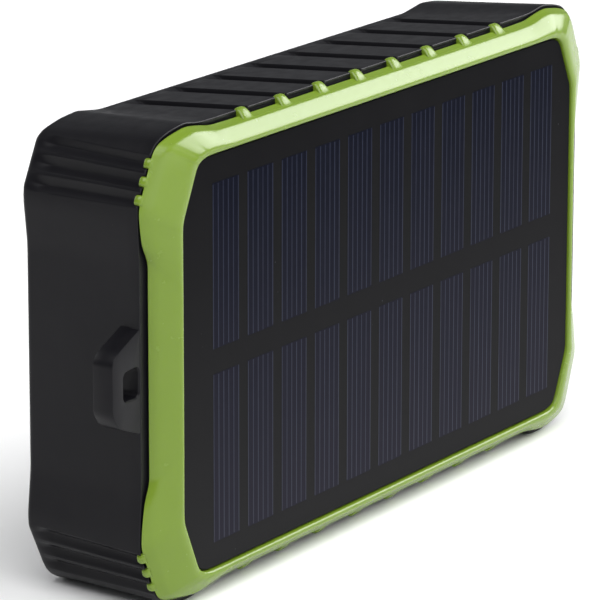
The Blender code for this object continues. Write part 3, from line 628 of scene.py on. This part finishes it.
def tub_ring(y):
    """The tub's outline at a depth with its grooves pressed in."""
    upper, lower, outline = tub_outline(y)
    quarter = len(outline) // 4
    sink = GROOVE_DEPTH_FRONT + (GROOVE_DEPTH_BACK - GROOVE_DEPTH_FRONT) * (y - RIM_Y) / (BACK_Y - RIM_Y)
    sink *= 1 - smooth_step(*GROOVE_FADE, y)
    facet_sink = FACET_GROOVE_DEPTH * (1 - smooth_step(*FACET_FADE, y))
    ring = []
    for number in range(4):
        way = Vector((1 if number in (0, 3) else -1, 1 if number < 2 else -1))
        corner = upper if number < 2 else lower
        path = dense(outline[number * quarter:(number + 1) * quarter], 260)
        ring += [press_facet(point, way, corner, facet_sink) for point in path]
        if number in (0, 2):
            places = long_side_places()
            side_z = path[-1].y
            if number == 0:
                places = list(reversed(places))
            for x in places:
                near = min(abs(x - middle) for middle in TOOTH_PLACES)
                depth = sink * groove_profile(near, GROOVE_HALF, GROOVE_WALL)
                ring.append(Vector((x, side_z - way.y * depth)))
    return ring


def press_facet(point, way, corner, sink):
    """A point of a corner, pressed in where it lies in one of the facet's three grooves."""
    start = Vector(corner[FACET])
    along = Vector(corner[FACET + 1]) - start
    stretch = along.length / FACET_LENGTH
    along.normalize()
    inward = Vector((-along.y, along.x))
    local = Vector((point.x * way.x, point.y * way.y)) - start
    if abs(local.dot(inward)) > FACET_THICKNESS:
        return point
    place = local.dot(along) / stretch
    nearest = min(abs(place - lug) for lug in LUG_PLACES)
    deepest = 1 - min(nearest / FACET_GROOVE_HALF, 1.0) ** FACET_GROOVE_CURVE
    shift = inward * sink * deepest
    return point + Vector((shift.x * way.x, shift.y * way.y))


def loop_shape():
    """The lanyard loop's ear, with rounded outer edges."""
    ear = [
        (-74.0, 10.1), (-75.8, 9.4), (-82.4, 6.5), (-LOOP_REACH, 5.1),
        (-LOOP_REACH, -4.3), (-82.0, -7.0), (-75.8, -9.3), (-74.0, -9.9),
    ]
    outline = softened(ear, [0.1, 1.0, 1.1, 1.1, 1.1, 1.1, 1.0, 0.1])
    y0, y1 = LOOP_Y
    stations = [
        (inset(outline, 0.2), y0), (inset(outline, 0.05), y0 + 0.07), (outline, y0 + 0.24),
        (outline, y1 - 0.2), (inset(outline, 0.06), y1 - 0.06), (inset(outline, 0.2), y1),
    ]
    return loft(stations)


def loop_slot():
    """The slot beside the end wall, flared at both faces."""
    slot = [(-75.9, 2.9), (-80.5, 2.7), (-80.5, -2.6), (-75.9, -2.6)]
    outline = softened(slot, [1.2] * 4, 6)
    y0, y1 = LOOP_Y
    flare, wide = inset(outline, -0.25), inset(outline, -0.3)
    mouth = [(wide, y0 - 1), (flare, y0 - 0.03), (outline, y0 + 0.28)]
    return loft(mouth + [(outline, y1 - 0.28), (flare, y1 + 0.03), (wide, y1 + 1)])


def trough():
    """The shadow gap in the tub's front edge, between its lip and the bezel."""
    lip = inset(tub_outline(RIM_Y)[2], 0.3)
    bezel = softened(mirrored(BEZEL_OUTER[:10], BEZEL_OUTER_LOWER[:10]), mirrored_values(TUB_ROUNDING), 6)
    inner = inset(bezel, 0.4)
    middle = [a.lerp(b, 0.5) for a, b in zip(lip, inner)]
    floor = RIM_Y + TROUGH_DEPTH
    section = [(lip, RIM_Y - 1), (lip, RIM_Y), (middle, floor), (inner, floor), (inner, RIM_Y - 1)]
    return loft(section, closed=True)


def tub_stations():
    """The skin's (inset, y) stations: a fillet at each edge, and closer ones where the grooves fade."""
    rim_steps, back_steps = 4, 5
    fade_start, fade_step, fade_count = 22.4, 0.45, 13
    stations = []
    for step in range(rim_steps + 1):
        angle = math.pi / 2 * step / rim_steps
        stations.append((RIM_FILLET * (1 - math.sin(angle)), RIM_Y + RIM_FILLET * (1 - math.cos(angle))))
    stations += [(0.0, y) for y in (6.0, 10.0, 14.0, 18.0, 21.0, fade_start)]
    stations += [(0.0, fade_start + fade_step * i) for i in range(1, fade_count + 1)]
    for step in range(back_steps + 1):
        angle = math.pi / 2 * step / back_steps
        y = BACK_Y - BACK_FILLET * (1 - math.sin(angle))
        stations.append((BACK_FILLET * (1 - math.cos(angle)), y))
    return stations


def post_middles():
    """The places of the four case screws and their posts."""
    return [(x * POST_X, 0, z * POST_Z) for x in (-1, 1) for z in (-1, 1)]


def build_tub(materials):
    """The tub: a grooved skin with the loop, hollowed out, with posts for its screws."""
    rounding = [CAVITY_ROUNDING] * (4 * len(CAVITY))
    cavity = [Vector(p) for p in softened(mirrored(CAVITY), rounding, 3)]
    skin = [(inset(tub_ring(y), distance), y) for distance, y in tub_stations()]
    tub = loose("tub", loft(skin))

    combine(tub, "UNION", loop_shape())
    combine(tub, "DIFFERENCE", loop_slot())
    combine(tub, "DIFFERENCE", loft([(cavity, RIM_Y - 1), (inset(cavity, CAVITY_TAPER), CAVITY_BACK)]))
    near, far = (softened(mirrored(mixed(CAVITY, SEAL, share)), rounding, 3) for share in SEAL_SHARES)
    floor = RIM_Y + SEAL_GROOVE_DEPTH
    seal = [(far, RIM_Y - 1), (far, floor), (near, floor), (near, RIM_Y - 1)]
    combine(tub, "DIFFERENCE", loft(seal, closed=True))
    combine(tub, "DIFFERENCE", trough())
    corners = post_middles()
    boards = [(x, 0, z) for x, z in BOARD_SCREWS]
    combine(tub, "UNION", turned("Y", [(16.0, 3.8), (CAVITY_BACK + 1, 3.8)], corners))
    combine(tub, "UNION", turned("Y", [(19.9, 2.3), (CAVITY_BACK + 1, 2.3)], boards))
    bore = [
        (14.0, 1.4), (25.5, 1.4), (25.51, 2.6), (BACK_Y - 0.4, 2.6), (BACK_Y, 3.0), (BACK_Y + 1, 3.0),
    ]
    combine(tub, "DIFFERENCE", turned("Y", bore, corners))
    combine(tub, "DIFFERENCE", turned("Y", [(18.0, 1.15), (26.4, 1.15)], boards, 16))
    cut_port_end(tub)
    cut_back(tub)
    settle(tub, materials["shell"], replaces=["rear_shell"], sharp_degrees=30)


def cut_port_end(tub):
    """The recess and mouths behind the port cover, the button's dish and the status windows."""
    outside = 80.0
    recess = block((RECESS_FLOOR, outside), RECESS_Y, RECESS_Z, 0.6)
    combine(tub, "DIFFERENCE", recess)
    combine(tub, "DIFFERENCE", block((RECESS_FLOOR, outside), (RECESS_Y[1] - 1, STRAP_Y), STRAP_Z, 0.4))
    combine(tub, "DIFFERENCE", block((RECESS_FLOOR + 1, outside), (TAB_Y, RECESS_Y[0] + 1), TAB_Z, 0.4))
    for z, height, y0, y1 in SOCKETS:
        mouth = block((66.0, 74.0), (y0, y1), (z - height / 2, z + height / 2), 0.3)
        combine(tub, "DIFFERENCE", mouth)
    combine(tub, "DIFFERENCE", block((66.0, 74.0), (24.9, 26.7), (-12.3, -3.7)))
    dish = [(66.0, 3.2), (73.4, 3.2), (73.8, 3.5), (74.3, 4.6), (76.5, 6.6)]
    combine(tub, "DIFFERENCE", turned("X", dish, [(0, BUTTON_Y, BUTTON_Z)], 48))
    windows = [(0, BUTTON_Y, z) for z in LED_PLACES]
    combine(tub, "DIFFERENCE", turned("X", [(66.0, 0.8), (outside, 0.8)], windows, 20))


def cut_back(tub):
    """The torch's window and the shallow field on the back."""
    window = pill(TORCH_HALF_LENGTH + 0.3, TORCH_RADIUS + 0.3)
    wide = pill(TORCH_HALF_LENGTH + 0.7, TORCH_RADIUS + 0.7)
    torch = [(window, CAVITY_BACK - 1), (window, BACK_Y - 0.4), (wide, BACK_Y), (wide, BACK_Y + 1)]
    torch = [([(x + TORCH_X, z) for x, z in outline], y) for outline, y in torch]
    combine(tub, "DIFFERENCE", loft(torch))
    field = softened([(-58, 30), (38, 30), (38, -30), (-58, -30)], [7.0] * 4, 12)
    field.reverse()
    edge = inset(field, 0.5)
    combine(tub, "DIFFERENCE", loft([(edge, BACK_Y - 0.4), (field, BACK_Y), (field, BACK_Y + 1)]))


# ---------------------------------------------------------------- bezel

def bezel_stations():
    """Rings of the bezel's section: ledge, window wall, crest, main face, ridge, outer flank and back."""
    window, outer = mirrored(WINDOW, WINDOW_LOWER), mirrored(BEZEL_OUTER, BEZEL_OUTER_LOWER)
    weights = mirrored_values(END_WEIGHT)
    rounding = mirrored_values(BEZEL_ROUNDING)
    ledge = inset(softened(window, rounding), 3.0)
    stations = [(ledge, BEZEL_BACK), (ledge, LEDGE_Y)]
    for (long_share, long_y), (end_share, end_y) in zip(LONG_SECTION, END_SECTION):
        outline, depths = [], []
        for (a, b), (c, d), weight in zip(window, outer, weights):
            share = long_share + (end_share - long_share) * weight
            outline.append((a + (c - a) * share, b + (d - b) * share))
            depths += [long_y + (end_y - long_y) * weight] * (CORNER_STEPS + 1)
        stations.append((softened(outline, rounding, CORNER_STEPS), depths))
    return stations


def tooth_profile(edge, lift):
    """(y, height) of a tooth: up from the bevel, over a rounded top and down behind the tub's rim."""
    top = edge + lift
    return [
        (1.7, edge - 1.7), (1.2, edge - 1.1), (1.4, edge - 0.78), (2.35, edge + 0.28), (2.85, edge + 0.82),
        (3.25, top - 0.18), (3.5, top - 0.04), (3.85, top), (4.15, top - 0.04), (4.38, top - 0.2),
        (4.5, top - 0.48), (4.5, top - 0.9), (4.3, top - 1.02), (3.25, top - 1.07), (3.1, edge - 0.6),
    ]


LUG_PROFILE = [
    (3.1, -1.2), (2.78, -0.72), (2.90, -0.48), (3.08, -0.24), (3.30, -0.06), (3.6, 0.04),
    (3.95, 0.04), (4.2, -0.06), (4.32, -0.28), (4.32, -0.62), (4.2, -0.92), (3.3, -0.98),
]


def add_claw(shape, spot, outward, width, profile, rounding, flare):
    """Sweeps a profile across a tooth or lug, with round top corners and sides that spread at the root."""
    across = Vector((-outward.y, outward.x))
    half = width / 2
    heights = [height for _, height in profile]
    root, top = min(heights), max(heights)
    rings = []
    for side in (-1.0, -0.985, -0.94, -0.86, -0.74, -0.5, 0.0, 0.5, 0.74, 0.86, 0.94, 0.985, 1.0):
        over = max(0.0, (abs(side) * half - (half - rounding)) / rounding)
        sunk = rounding * (1 - math.sqrt(max(0.0, 1 - over**2)))
        ring = []
        for y, height in profile:
            rise = (height - root) / (top - root)
            spread = half * (1 + flare * (1 - rise)) * side
            point = spot + outward * (height - sunk * rise) + across * spread
            set_back = y + sunk * 0.3 * rise * (y < 3.6)
            ring.append(shape.verts.new((point.x, set_back, point.y)))
        rings.append(ring)
    close_rings(shape, rings)


def claws():
    """The teeth along both long sides and the three lugs on each corner facet."""
    shape = bmesh.new()
    side = BEZEL_OUTER[-1][1]
    tooth = tooth_profile(side, TOOTH_LIFT)
    for x in TOOTH_PLACES:
        for z in (-1, 1):
            add_claw(shape, Vector((x, 0)), Vector((0, z)), TOOTH_WIDTH, tooth, rounding=0.75, flare=0.5)
    start, end = Vector(TUB_FRONT_UPPER[FACET]), Vector(TUB_FRONT_UPPER[FACET + 1])
    along = (end - start).normalized()
    outward = Vector((along.y, -along.x))
    for distance in LUG_PLACES:
        place = start + along * distance
        for x in (-1, 1):
            for z in (-1, 1):
                spot = Vector((place.x * x, place.y * z))
                normal = Vector((outward.x * x, outward.y * z))
                add_claw(shape, spot, normal, LUG_WIDTH, LUG_PROFILE, rounding=0.80, flare=0.0)
    return shape


def build_bezel(materials):
    """The bezel with its teeth, lugs and the four posts that the case screws go into."""
    bezel = loose("bezel_frame", loft(bezel_stations(), closed=True))
    combine(bezel, "UNION", claws())
    corners = post_middles()
    combine(bezel, "UNION", turned("Y", [(2.6, 2.7), (15.7, 2.7)], corners))
    combine(bezel, "DIFFERENCE", turned("Y", [(8.0, 1.35), (17.0, 1.35)], corners, 20))
    settle(bezel, materials["bezel"], replaces=["front_bezel"], sharp_degrees=38)


# ---------------------------------------------------------------- solar panel

def cell_middles():
    return [CELL_MIDDLE_X + (i - (CELL_COUNT - 1) / 2) * CELL_PITCH for i in range(CELL_COUNT)]


def build_panel(materials):
    """The panel under its film, with a pocket for each cell strip, and its two rows of cells."""
    window = softened(mirrored(WINDOW, WINDOW_LOWER), mirrored_values(BEZEL_ROUNDING))
    edge, face = inset(window, 0.3), inset(window, 0.42)
    pocket_gap = 0.03
    panel = loose("panel_laminate", loft([(face, 0.03), (edge, 0.15), (edge, 1.7)]))
    pockets = bmesh.new()
    for low, high in CELL_ROWS.values():
        for x in cell_middles():
            span = (x - CELL_HALF_WIDTH - pocket_gap, x + CELL_HALF_WIDTH + pocket_gap)
            add_box(pockets, span, (-1.0, 0.3), (low - pocket_gap, high + pocket_gap))
    combine(panel, "DIFFERENCE", pockets)
    settle(panel, materials["panel"], replaces=["solar_panel_board"])
    for row, span in CELL_ROWS.items():
        build_cells(row, span, materials)


def build_cells(row, span, materials):
    """One row of silicon strips, and the silver fingers printed on them, whose ends are a little uneven."""
    strips = bmesh.new()
    fingers = bmesh.new()
    uneven = random.Random(f"fingers {row}")
    for x in cell_middles():
        add_box(strips, (x - CELL_HALF_WIDTH, x + CELL_HALF_WIDTH), (0.012, 0.28), span)
        for i in range(FINGERS):
            middle = x + (i - (FINGERS - 1) / 2) * FINGER_PITCH
            low = span[0] + uneven.uniform(0.0, 0.25)
            high = span[1] - uneven.uniform(0.0, 0.25)
            half = FINGER_WIDTH / 2 * uneven.uniform(0.85, 1.15)
            add_box(fingers, (middle - half, middle + half), (0.0, 0.05), (low, high))
    made = loose(f"cell_strips_{row}", strips)
    settle(made, materials["cell"], replaces=[f"solar_cells_{row}"])
    settle(loose(f"cell_fingers_{row}", fingers), materials["finger"])


# ---------------------------------------------------------------- end with the sockets

def end_wall_x(y, z):
    """Where the tub's right-hand end wall is at a depth and a height."""
    share = (y - RIM_Y) / (BACK_Y - RIM_Y)
    corner = mixed(TUB_FRONT_UPPER, TUB_BACK_UPPER, share)[:3]
    height = abs(z)
    for (x0, z0), (x1, z1) in zip(corner, corner[1:]):
        if z0 <= height <= z1:
            return x0 + (x1 - x0) * (height - z0) / (z1 - z0)
    return corner[0][0]


def cover_grid(y_places, z_places, surface):
    """A closed pad: a grid whose outer face is surface(y, z), with a flat inner face on the recess floor."""
    shape = bmesh.new()
    inner = RECESS_FLOOR + COVER_GAP
    outer = [[shape.verts.new((surface(y, z), y, z)) for z in z_places] for y in y_places]
    under = [[shape.verts.new((inner, y, z)) for z in z_places] for y in y_places]
    rows, columns = len(y_places), len(z_places)
    for i in range(rows - 1):
        for j in range(columns - 1):
            for grid in (outer, under):
                shape.faces.new((grid[i][j], grid[i + 1][j], grid[i + 1][j + 1], grid[i][j + 1]))
    for i in range(rows - 1):
        for j in (0, columns - 1):
            shape.faces.new((outer[i][j], outer[i + 1][j], under[i + 1][j], under[i][j]))
    for j in range(columns - 1):
        for i in (0, rows - 1):
            shape.faces.new((outer[i][j], outer[i][j + 1], under[i][j + 1], under[i][j]))
    return shape


def spaced(low, high, count):
    return [low + (high - low) * i / count for i in range(count + 1)]


def strap_heights():
    return spaced(STRAP_Z[0] + COVER_GAP, STRAP_Z[1] - COVER_GAP, 40)


def build_flap(materials):
    """The cover's flap: a framed field with two grip ribs, and a pull tab."""
    y0, y1 = RECESS_Y[0] + 0.5, HINGE_Y - COVER_GAP
    z0, z1 = RECESS_Z[0] + COVER_GAP, RECESS_Z[1] - COVER_GAP
    rib_y, rib_z = (9.6, 12.6), (-18.5, 2.5)
    rib_count, rib_height = 2, 0.35

    def flap_surface(y, z):
        edge = min(y - y0, y1 - y, z - z0, z1 - z)
        rounded = 0.5 * (1 - smooth_step(0.0, 0.8, edge)) ** 2
        field = 0.35 * smooth_step(1.6, 2.2, edge)
        rib = 0.0
        if rib_z[0] < z < rib_z[1] and rib_y[0] < y < rib_y[1]:
            turn = (y - rib_y[0]) / (rib_y[1] - rib_y[0]) * 2 * rib_count * math.pi
            from_end = min(z - rib_z[0], rib_z[1] - z)
            rib = rib_height * (0.5 - 0.5 * math.cos(turn)) * smooth_step(0, 1, from_end)
        return end_wall_x(y, z) - 0.05 - rounded - field + rib

    flap = loose("port_cover", cover_grid(spaced(y0, y1, 80), spaced(z0, z1, 90), flap_surface))
    tab_z = (TAB_Z[0] + 0.6, TAB_Z[1] - 0.6)
    tab = block((RECESS_FLOOR + 1.5, end_wall_x(TAB_Y, 0) - 0.1), (TAB_Y + 1.2, y0 + 1.0), tab_z, 0.4)
    combine(flap, "UNION", tab)
    settle(flap, materials["rubber"], body="port_cover", replaces=["port_cover_flap"])


def build_strap(materials):
    """The strip that holds the cover to the case, with its peg through the wall."""
    heights = strap_heights()
    y0, y1 = HINGE_Y + COVER_GAP, STRAP_Y - COVER_GAP

    def strap_surface(y, z):
        edge = min(y - y0 + 0.4, y1 - y, z - heights[0], heights[-1] - z)
        return end_wall_x(y, z) - 0.1 - 0.4 * (1 - smooth_step(0.0, 0.6, edge)) ** 2

    strap = loose("port_cover_strap", cover_grid(spaced(y0, y1, 10), heights, strap_surface))
    combine(strap, "UNION", block((68.2, RECESS_FLOOR + 0.6), (25.2, 26.4), (-12.0, -4.0), 0.3))
    settle(strap, materials["rubber"], replaces=["port_cover_anchor"])


def build_web(materials):
    """The web between strap and flap, thinnest on the hinge line, where the real one bends as the cover
    opens.
    """
    half, thickness, thinning, end_gap = 0.75, 0.85, 0.32, 0.4
    outer_x = end_wall_x(HINGE_Y, 0) - 0.25
    low, high = strap_heights()[0] + end_gap, strap_heights()[-1] - end_gap
    web = bmesh.new()
    rings = []
    for y in spaced(HINGE_Y - half, HINGE_Y + half, 12):
        thin_x = outer_x - thinning * math.cos(math.pi * (y - HINGE_Y) / (2 * half)) ** 2
        inner_x = outer_x - thickness
        section = ((thin_x, low), (thin_x, high), (inner_x, high), (inner_x, low))
        rings.append([web.verts.new((x, y, z)) for x, z in section])
    close_rings(web, rings)
    made = settle(loose("port_cover_web", web), materials["rubber"], ride=False)
    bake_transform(made)


def build_button(materials):
    """The button's cap: a flange behind the wall, a shaft and a dished top."""
    cap = [
        (-6.7, 3.9), (-5.7, 3.9), (-5.69, 2.85), (-0.1, 2.85), (0.18, 2.78), (0.38, 2.6),
        (0.48, 2.35), (0.46, 2.1), (0.34, 1.6), (0.26, 0.9), (0.24, 0.2),
    ]
    shape = turned("X", cap, [(BUTTON_X, BUTTON_Y, BUTTON_Z)], 48)
    button = loose("power_button_cap", shape)
    settle(button, materials["rubber"], body="power_button", replaces=["power_button"])


# ---------------------------------------------------------------- back

def build_torch(materials):
    """The ribbed lens over the torch's reflector."""
    rib_count, rib_pitch = 14, 1.7
    outline = pill(TORCH_HALF_LENGTH - 0.1, TORCH_RADIUS - 0.1)
    stations = []
    for distance, y in ((0.0, 28.0), (0.0, 29.1), (0.12, 29.32), (0.4, 29.44), (1.0, 29.48)):
        stations.append(([(x + TORCH_X, z) for x, z in inset(outline, distance)], y))
    lens = loose("torch_lens_window", loft(stations))
    ribs = bmesh.new()
    for i in range(rib_count):
        z = (i - (rib_count - 1) / 2) * rib_pitch
        add_turned(ribs, "X", (TORCH_X, 27.72, z), [(-3.9, 0.5), (3.9, 0.5)], 20)
    combine(lens, "DIFFERENCE", ribs)
    settle(lens, materials["clear"], replaces=["torch_lens"])


def build_screws(materials):
    """The case screws' heads and shanks, each with a cross slot."""
    profile = [
        (9.5, 0.5), (10.5, 0.95), (25.8, 0.95), (25.81, 2.1),
        (26.7, 2.1), (27.05, 1.98), (27.3, 1.7), (27.4, 1.2),
    ]
    for i, (x, _, z) in enumerate(post_middles(), 1):
        screw = loose(f"case_screw_cross_{i}", turned("Y", profile, [(x, 0, z)], 40))
        for half_x, half_z in ((1.35, 0.24), (0.24, 1.35)):
            slot = block((x - half_x, x + half_x), (26.5, 28.0), (z - half_z, z + half_z))
            combine(screw, "DIFFERENCE", slot)
        settle(screw, materials["metal"], replaces=[f"case_screw_{i}"])


# ---------------------------------------------------------------- carried-over CAD nodes

def dress_cad_nodes(materials):
    """Gives every CAD node the material of its slot, also those that finer pieces replace afterwards."""
    slots = {entry["node"]: entry["material_slot"] for entry in frame["record"]["subparts"]}
    for name, node in NODES.items():
        node.data.materials.clear()
        node.data.materials.append(materials[slots[name]])


# ---------------------------------------------------------------- stage, lights and camera

def build_stage():
    """A wide pale floor under the case."""
    size = 9.0
    shape = bmesh.new()
    bmesh.ops.create_grid(shape, x_segments=2, y_segments=2, size=size)
    floor = loose("floor", shape)
    paper = Recipe("pale_floor", (0.90, 0.90, 0.90), 0.75, Specular_IOR_Level=0.1)
    paper.vary_color(3, (0.89, 0.89, 0.885), 0.5)
    floor.data.materials.append(paper.material)


def add_softbox(name, direction, distance, size, radiance):
    """A rectangular area light that faces the case, with the same brightness whatever its size."""
    light = bpy.data.lights.new(name, "AREA")
    light.shape = "RECTANGLE"
    light.size, light.size_y = size
    light.energy = radiance * math.pi * size[0] * size[1]
    made = bpy.data.objects.new(name, light)
    bpy.context.collection.objects.link(made)
    target = Vector((0.0, 0.0, 0.045))
    way = Vector(direction).normalized()
    made.location = target + way * distance
    made.rotation_mode = "QUATERNION"
    made.rotation_quaternion = way.to_track_quat("Z", "Y")


def build_lights():
    world = bpy.data.worlds.new("studio")
    bpy.context.scene.world = world
    world.use_nodes = True
    background = world.node_tree.nodes["Background"]
    background.inputs["Color"].default_value = (0.95, 0.97, 1.0, 1.0)
    background.inputs["Strength"].default_value = 0.21
    add_softbox("key_softbox", (0.76, -0.43, 0.46), 1.3, (0.90, 0.72), 7.8)
    add_softbox("top_softbox", (-0.36, -0.30, 0.88), 1.8, (2.0, 1.6), 3.8)
    add_softbox("front_fill", (-0.05, -0.95, 0.26), 1.6, (1.5, 0.8), 1.9)
    add_softbox("back_fill", (-0.10, 0.95, 0.45), 1.8, (1.2, 0.8), 1.5)


def build_camera():
    data = bpy.data.cameras.new("photo_camera")
    data.lens = CAMERA_LENS
    data.sensor_width = 36.0
    data.clip_start, data.clip_end = 0.05, 50.0
    camera = bpy.data.objects.new("photo_camera", data)
    bpy.context.collection.objects.link(camera)
    camera.location = CAMERA_PLACE
    camera.rotation_mode = "QUATERNION"
    roll = Quaternion((0, 0, 1), math.radians(CAMERA_ROLL))
    camera.rotation_quaternion = CAMERA_AIM.to_track_quat("-Z", "Y") @ roll
    bpy.context.scene.camera = camera


def main():
    bpy.context.scene.view_settings.view_transform = "Standard"
    materials = make_materials()
    build_camera()
    build_lights()
    build_stage()
    dress_cad_nodes(materials)
    build_tub(materials)
    build_bezel(materials)
    build_panel(materials)
    build_flap(materials)
    build_strap(materials)
    build_web(materials)
    build_button(materials)
    build_torch(materials)
    build_screws(materials)


main()
